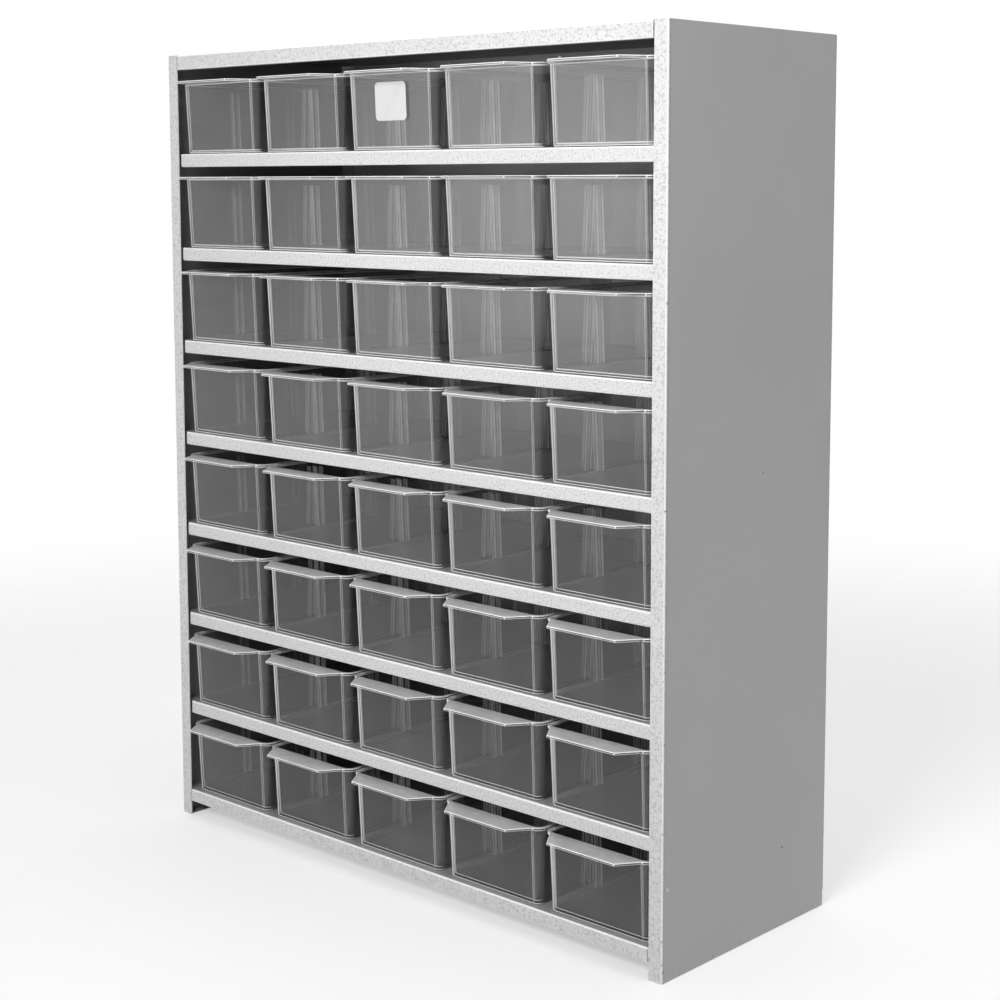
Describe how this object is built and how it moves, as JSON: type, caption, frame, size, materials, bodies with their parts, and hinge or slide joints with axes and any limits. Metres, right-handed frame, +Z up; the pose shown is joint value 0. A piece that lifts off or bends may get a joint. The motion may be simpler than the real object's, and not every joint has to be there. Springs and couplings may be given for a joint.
{
  "type": "parts bin cabinet",
  "caption": "Open-fronted sheet-steel cabinet with rows of clear sliding drawers on plain shelves, each with a pull lip, for storing small parts",
  "frame": {"origin": "on the floor, under the middle of the cabinet's overall width and depth, drawer pulls and rivet heads included", "axes": "+Z up, the drawers face -Y and slide out along -Y, +X to the right as seen from the front"},
  "size_m": [0.61, 0.2462, 0.75],
  "materials": {
    "carcass_paint": "silver-grey hammer-grain paint, satin",
    "rivet_metal": "plain aluminium pop rivets",
    "clear_plastic": "clear moulded polystyrene, glossy",
    "label_paper": "blank white self-adhesive label"
  },
  "bodies": {
    "carcass": {"left_side_panel": "carcass_paint", "right_side_panel": "carcass_paint", "top_panel": "carcass_paint", "shelf_1": "carcass_paint", "shelf_2": "carcass_paint", "shelf_3": "carcass_paint", "shelf_4": "carcass_paint", "shelf_5": "carcass_paint", "shelf_6": "carcass_paint", "shelf_7": "carcass_paint", "bottom_shelf": "carcass_paint", "back_panel": "carcass_paint", "back_rivets": "rivet_metal"},
    "drawer_r1_c1": {"drawer_r1_c1": "clear_plastic"},
    "drawer_r1_c2": {"drawer_r1_c2": "clear_plastic"},
    "drawer_r1_c3": {"drawer_r1_c3": "clear_plastic", "label": "label_paper"},
    "drawer_r1_c4": {"drawer_r1_c4": "clear_plastic"},
    "drawer_r1_c5": {"drawer_r1_c5": "clear_plastic"},
    "drawer_r2_c1": {"drawer_r2_c1": "clear_plastic"},
    "drawer_r2_c2": {"drawer_r2_c2": "clear_plastic"},
    "drawer_r2_c3": {"drawer_r2_c3": "clear_plastic"},
    "drawer_r2_c4": {"drawer_r2_c4": "clear_plastic"},
    "drawer_r2_c5": {"drawer_r2_c5": "clear_plastic"},
    "drawer_r3_c1": {"drawer_r3_c1": "clear_plastic"},
    "drawer_r3_c2": {"drawer_r3_c2": "clear_plastic"},
    "drawer_r3_c3": {"drawer_r3_c3": "clear_plastic"},
    "drawer_r3_c4": {"drawer_r3_c4": "clear_plastic"},
    "drawer_r3_c5": {"drawer_r3_c5": "clear_plastic"},
    "drawer_r4_c1": {"drawer_r4_c1": "clear_plastic"},
    "drawer_r4_c2": {"drawer_r4_c2": "clear_plastic"},
    "drawer_r4_c3": {"drawer_r4_c3": "clear_plastic"},
    "drawer_r4_c4": {"drawer_r4_c4": "clear_plastic"},
    "drawer_r4_c5": {"drawer_r4_c5": "clear_plastic"},
    "drawer_r5_c1": {"drawer_r5_c1": "clear_plastic"},
    "drawer_r5_c2": {"drawer_r5_c2": "clear_plastic"},
    "drawer_r5_c3": {"drawer_r5_c3": "clear_plastic"},
    "drawer_r5_c4": {"drawer_r5_c4": "clear_plastic"},
    "drawer_r5_c5": {"drawer_r5_c5": "clear_plastic"},
    "drawer_r6_c1": {"drawer_r6_c1": "clear_plastic"},
    "drawer_r6_c2": {"drawer_r6_c2": "clear_plastic"},
    "drawer_r6_c3": {"drawer_r6_c3": "clear_plastic"},
    "drawer_r6_c4": {"drawer_r6_c4": "clear_plastic"},
    "drawer_r6_c5": {"drawer_r6_c5": "clear_plastic"},
    "drawer_r7_c1": {"drawer_r7_c1": "clear_plastic"},
    "drawer_r7_c2": {"drawer_r7_c2": "clear_plastic"},
    "drawer_r7_c3": {"drawer_r7_c3": "clear_plastic"},
    "drawer_r7_c4": {"drawer_r7_c4": "clear_plastic"},
    "drawer_r7_c5": {"drawer_r7_c5": "clear_plastic"},
    "drawer_r8_c1": {"drawer_r8_c1": "clear_plastic"},
    "drawer_r8_c2": {"drawer_r8_c2": "clear_plastic"},
    "drawer_r8_c3": {"drawer_r8_c3": "clear_plastic"},
    "drawer_r8_c4": {"drawer_r8_c4": "clear_plastic"},
    "drawer_r8_c5": {"drawer_r8_c5": "clear_plastic"}
  },
  "joints": [
    {"name": "drawer_r1_c1_slide", "type": "slide", "parent": "carcass", "child": "drawer_r1_c1", "axis": [0, -1, 0], "range_m": [0, 0.185]},
    {"name": "drawer_r1_c2_slide", "type": "slide", "parent": "carcass", "child": "drawer_r1_c2", "axis": [0, -1, 0], "range_m": [0, 0.185]},
    {"name": "drawer_r1_c3_slide", "type": "slide", "parent": "carcass", "child": "drawer_r1_c3", "axis": [0, -1, 0], "range_m": [0, 0.185]},
    {"name": "drawer_r1_c4_slide", "type": "slide", "parent": "carcass", "child": "drawer_r1_c4", "axis": [0, -1, 0], "range_m": [0, 0.185]},
    {"name": "drawer_r1_c5_slide", "type": "slide", "parent": "carcass", "child": "drawer_r1_c5", "axis": [0, -1, 0], "range_m": [0, 0.185]},
    {"name": "drawer_r2_c1_slide", "type": "slide", "parent": "carcass", "child": "drawer_r2_c1", "axis": [0, -1, 0], "range_m": [0, 0.185]},
    {"name": "drawer_r2_c2_slide", "type": "slide", "parent": "carcass", "child": "drawer_r2_c2", "axis": [0, -1, 0], "range_m": [0, 0.185]},
    {"name": "drawer_r2_c3_slide", "type": "slide", "parent": "carcass", "child": "drawer_r2_c3", "axis": [0, -1, 0], "range_m": [0, 0.185]},
    {"name": "drawer_r2_c4_slide", "type": "slide", "parent": "carcass", "child": "drawer_r2_c4", "axis": [0, -1, 0], "range_m": [0, 0.185]},
    {"name": "drawer_r2_c5_slide", "type": "slide", "parent": "carcass", "child": "drawer_r2_c5", "axis": [0, -1, 0], "range_m": [0, 0.185]},
    {"name": "drawer_r3_c1_slide", "type": "slide", "parent": "carcass", "child": "drawer_r3_c1", "axis": [0, -1, 0], "range_m": [0, 0.185]},
    {"name": "drawer_r3_c2_slide", "type": "slide", "parent": "carcass", "child": "drawer_r3_c2", "axis": [0, -1, 0], "range_m": [0, 0.185]},
    {"name": "drawer_r3_c3_slide", "type": "slide", "parent": "carcass", "child": "drawer_r3_c3", "axis": [0, -1, 0], "range_m": [0, 0.185]},
    {"name": "drawer_r3_c4_slide", "type": "slide", "parent": "carcass", "child": "drawer_r3_c4", "axis": [0, -1, 0], "range_m": [0, 0.185]},
    {"name": "drawer_r3_c5_slide", "type": "slide", "parent": "carcass", "child": "drawer_r3_c5", "axis": [0, -1, 0], "range_m": [0, 0.185]},
    {"name": "drawer_r4_c1_slide", "type": "slide", "parent": "carcass", "child": "drawer_r4_c1", "axis": [0, -1, 0], "range_m": [0, 0.185]},
    {"name": "drawer_r4_c2_slide", "type": "slide", "parent": "carcass", "child": "drawer_r4_c2", "axis": [0, -1, 0], "range_m": [0, 0.185]},
    {"name": "drawer_r4_c3_slide", "type": "slide", "parent": "carcass", "child": "drawer_r4_c3", "axis": [0, -1, 0], "range_m": [0, 0.185]},
    {"name": "drawer_r4_c4_slide", "type": "slide", "parent": "carcass", "child": "drawer_r4_c4", "axis": [0, -1, 0], "range_m": [0, 0.185]},
    {"name": "drawer_r4_c5_slide", "type": "slide", "parent": "carcass", "child": "drawer_r4_c5", "axis": [0, -1, 0], "range_m": [0, 0.185]},
    {"name": "drawer_r5_c1_slide", "type": "slide", "parent": "carcass", "child": "drawer_r5_c1", "axis": [0, -1, 0], "range_m": [0, 0.185]},
    {"name": "drawer_r5_c2_slide", "type": "slide", "parent": "carcass", "child": "drawer_r5_c2", "axis": [0, -1, 0], "range_m": [0, 0.185]},
    {"name": "drawer_r5_c3_slide", "type": "slide", "parent": "carcass", "child": "drawer_r5_c3", "axis": [0, -1, 0], "range_m": [0, 0.185]},
    {"name": "drawer_r5_c4_slide", "type": "slide", "parent": "carcass", "child": "drawer_r5_c4", "axis": [0, -1, 0], "range_m": [0, 0.185]},
    {"name": "drawer_r5_c5_slide", "type": "slide", "parent": "carcass", "child": "drawer_r5_c5", "axis": [0, -1, 0], "range_m": [0, 0.185]},
    {"name": "drawer_r6_c1_slide", "type": "slide", "parent": "carcass", "child": "drawer_r6_c1", "axis": [0, -1, 0], "range_m": [0, 0.185]},
    {"name": "drawer_r6_c2_slide", "type": "slide", "parent": "carcass", "child": "drawer_r6_c2", "axis": [0, -1, 0], "range_m": [0, 0.185]},
    {"name": "drawer_r6_c3_slide", "type": "slide", "parent": "carcass", "child": "drawer_r6_c3", "axis": [0, -1, 0], "range_m": [0, 0.185]},
    {"name": "drawer_r6_c4_slide", "type": "slide", "parent": "carcass", "child": "drawer_r6_c4", "axis": [0, -1, 0], "range_m": [0, 0.185]},
    {"name": "drawer_r6_c5_slide", "type": "slide", "parent": "carcass", "child": "drawer_r6_c5", "axis": [0, -1, 0], "range_m": [0, 0.185]},
    {"name": "drawer_r7_c1_slide", "type": "slide", "parent": "carcass", "child": "drawer_r7_c1", "axis": [0, -1, 0], "range_m": [0, 0.185]},
    {"name": "drawer_r7_c2_slide", "type": "slide", "parent": "carcass", "child": "drawer_r7_c2", "axis": [0, -1, 0], "range_m": [0, 0.185]},
    {"name": "drawer_r7_c3_slide", "type": "slide", "parent": "carcass", "child": "drawer_r7_c3", "axis": [0, -1, 0], "range_m": [0, 0.185]},
    {"name": "drawer_r7_c4_slide", "type": "slide", "parent": "carcass", "child": "drawer_r7_c4", "axis": [0, -1, 0], "range_m": [0, 0.185]},
    {"name": "drawer_r7_c5_slide", "type": "slide", "parent": "carcass", "child": "drawer_r7_c5", "axis": [0, -1, 0], "range_m": [0, 0.185]},
    {"name": "drawer_r8_c1_slide", "type": "slide", "parent": "carcass", "child": "drawer_r8_c1", "axis": [0, -1, 0], "range_m": [0, 0.185]},
    {"name": "drawer_r8_c2_slide", "type": "slide", "parent": "carcass", "child": "drawer_r8_c2", "axis": [0, -1, 0], "range_m": [0, 0.185]},
    {"name": "drawer_r8_c3_slide", "type": "slide", "parent": "carcass", "child": "drawer_r8_c3", "axis": [0, -1, 0], "range_m": [0, 0.185]},
    {"name": "drawer_r8_c4_slide", "type": "slide", "parent": "carcass", "child": "drawer_r8_c4", "axis": [0, -1, 0], "range_m": [0, 0.185]},
    {"name": "drawer_r8_c5_slide", "type": "slide", "parent": "carcass", "child": "drawer_r8_c5", "axis": [0, -1, 0], "range_m": [0, 0.185]}
  ]
}
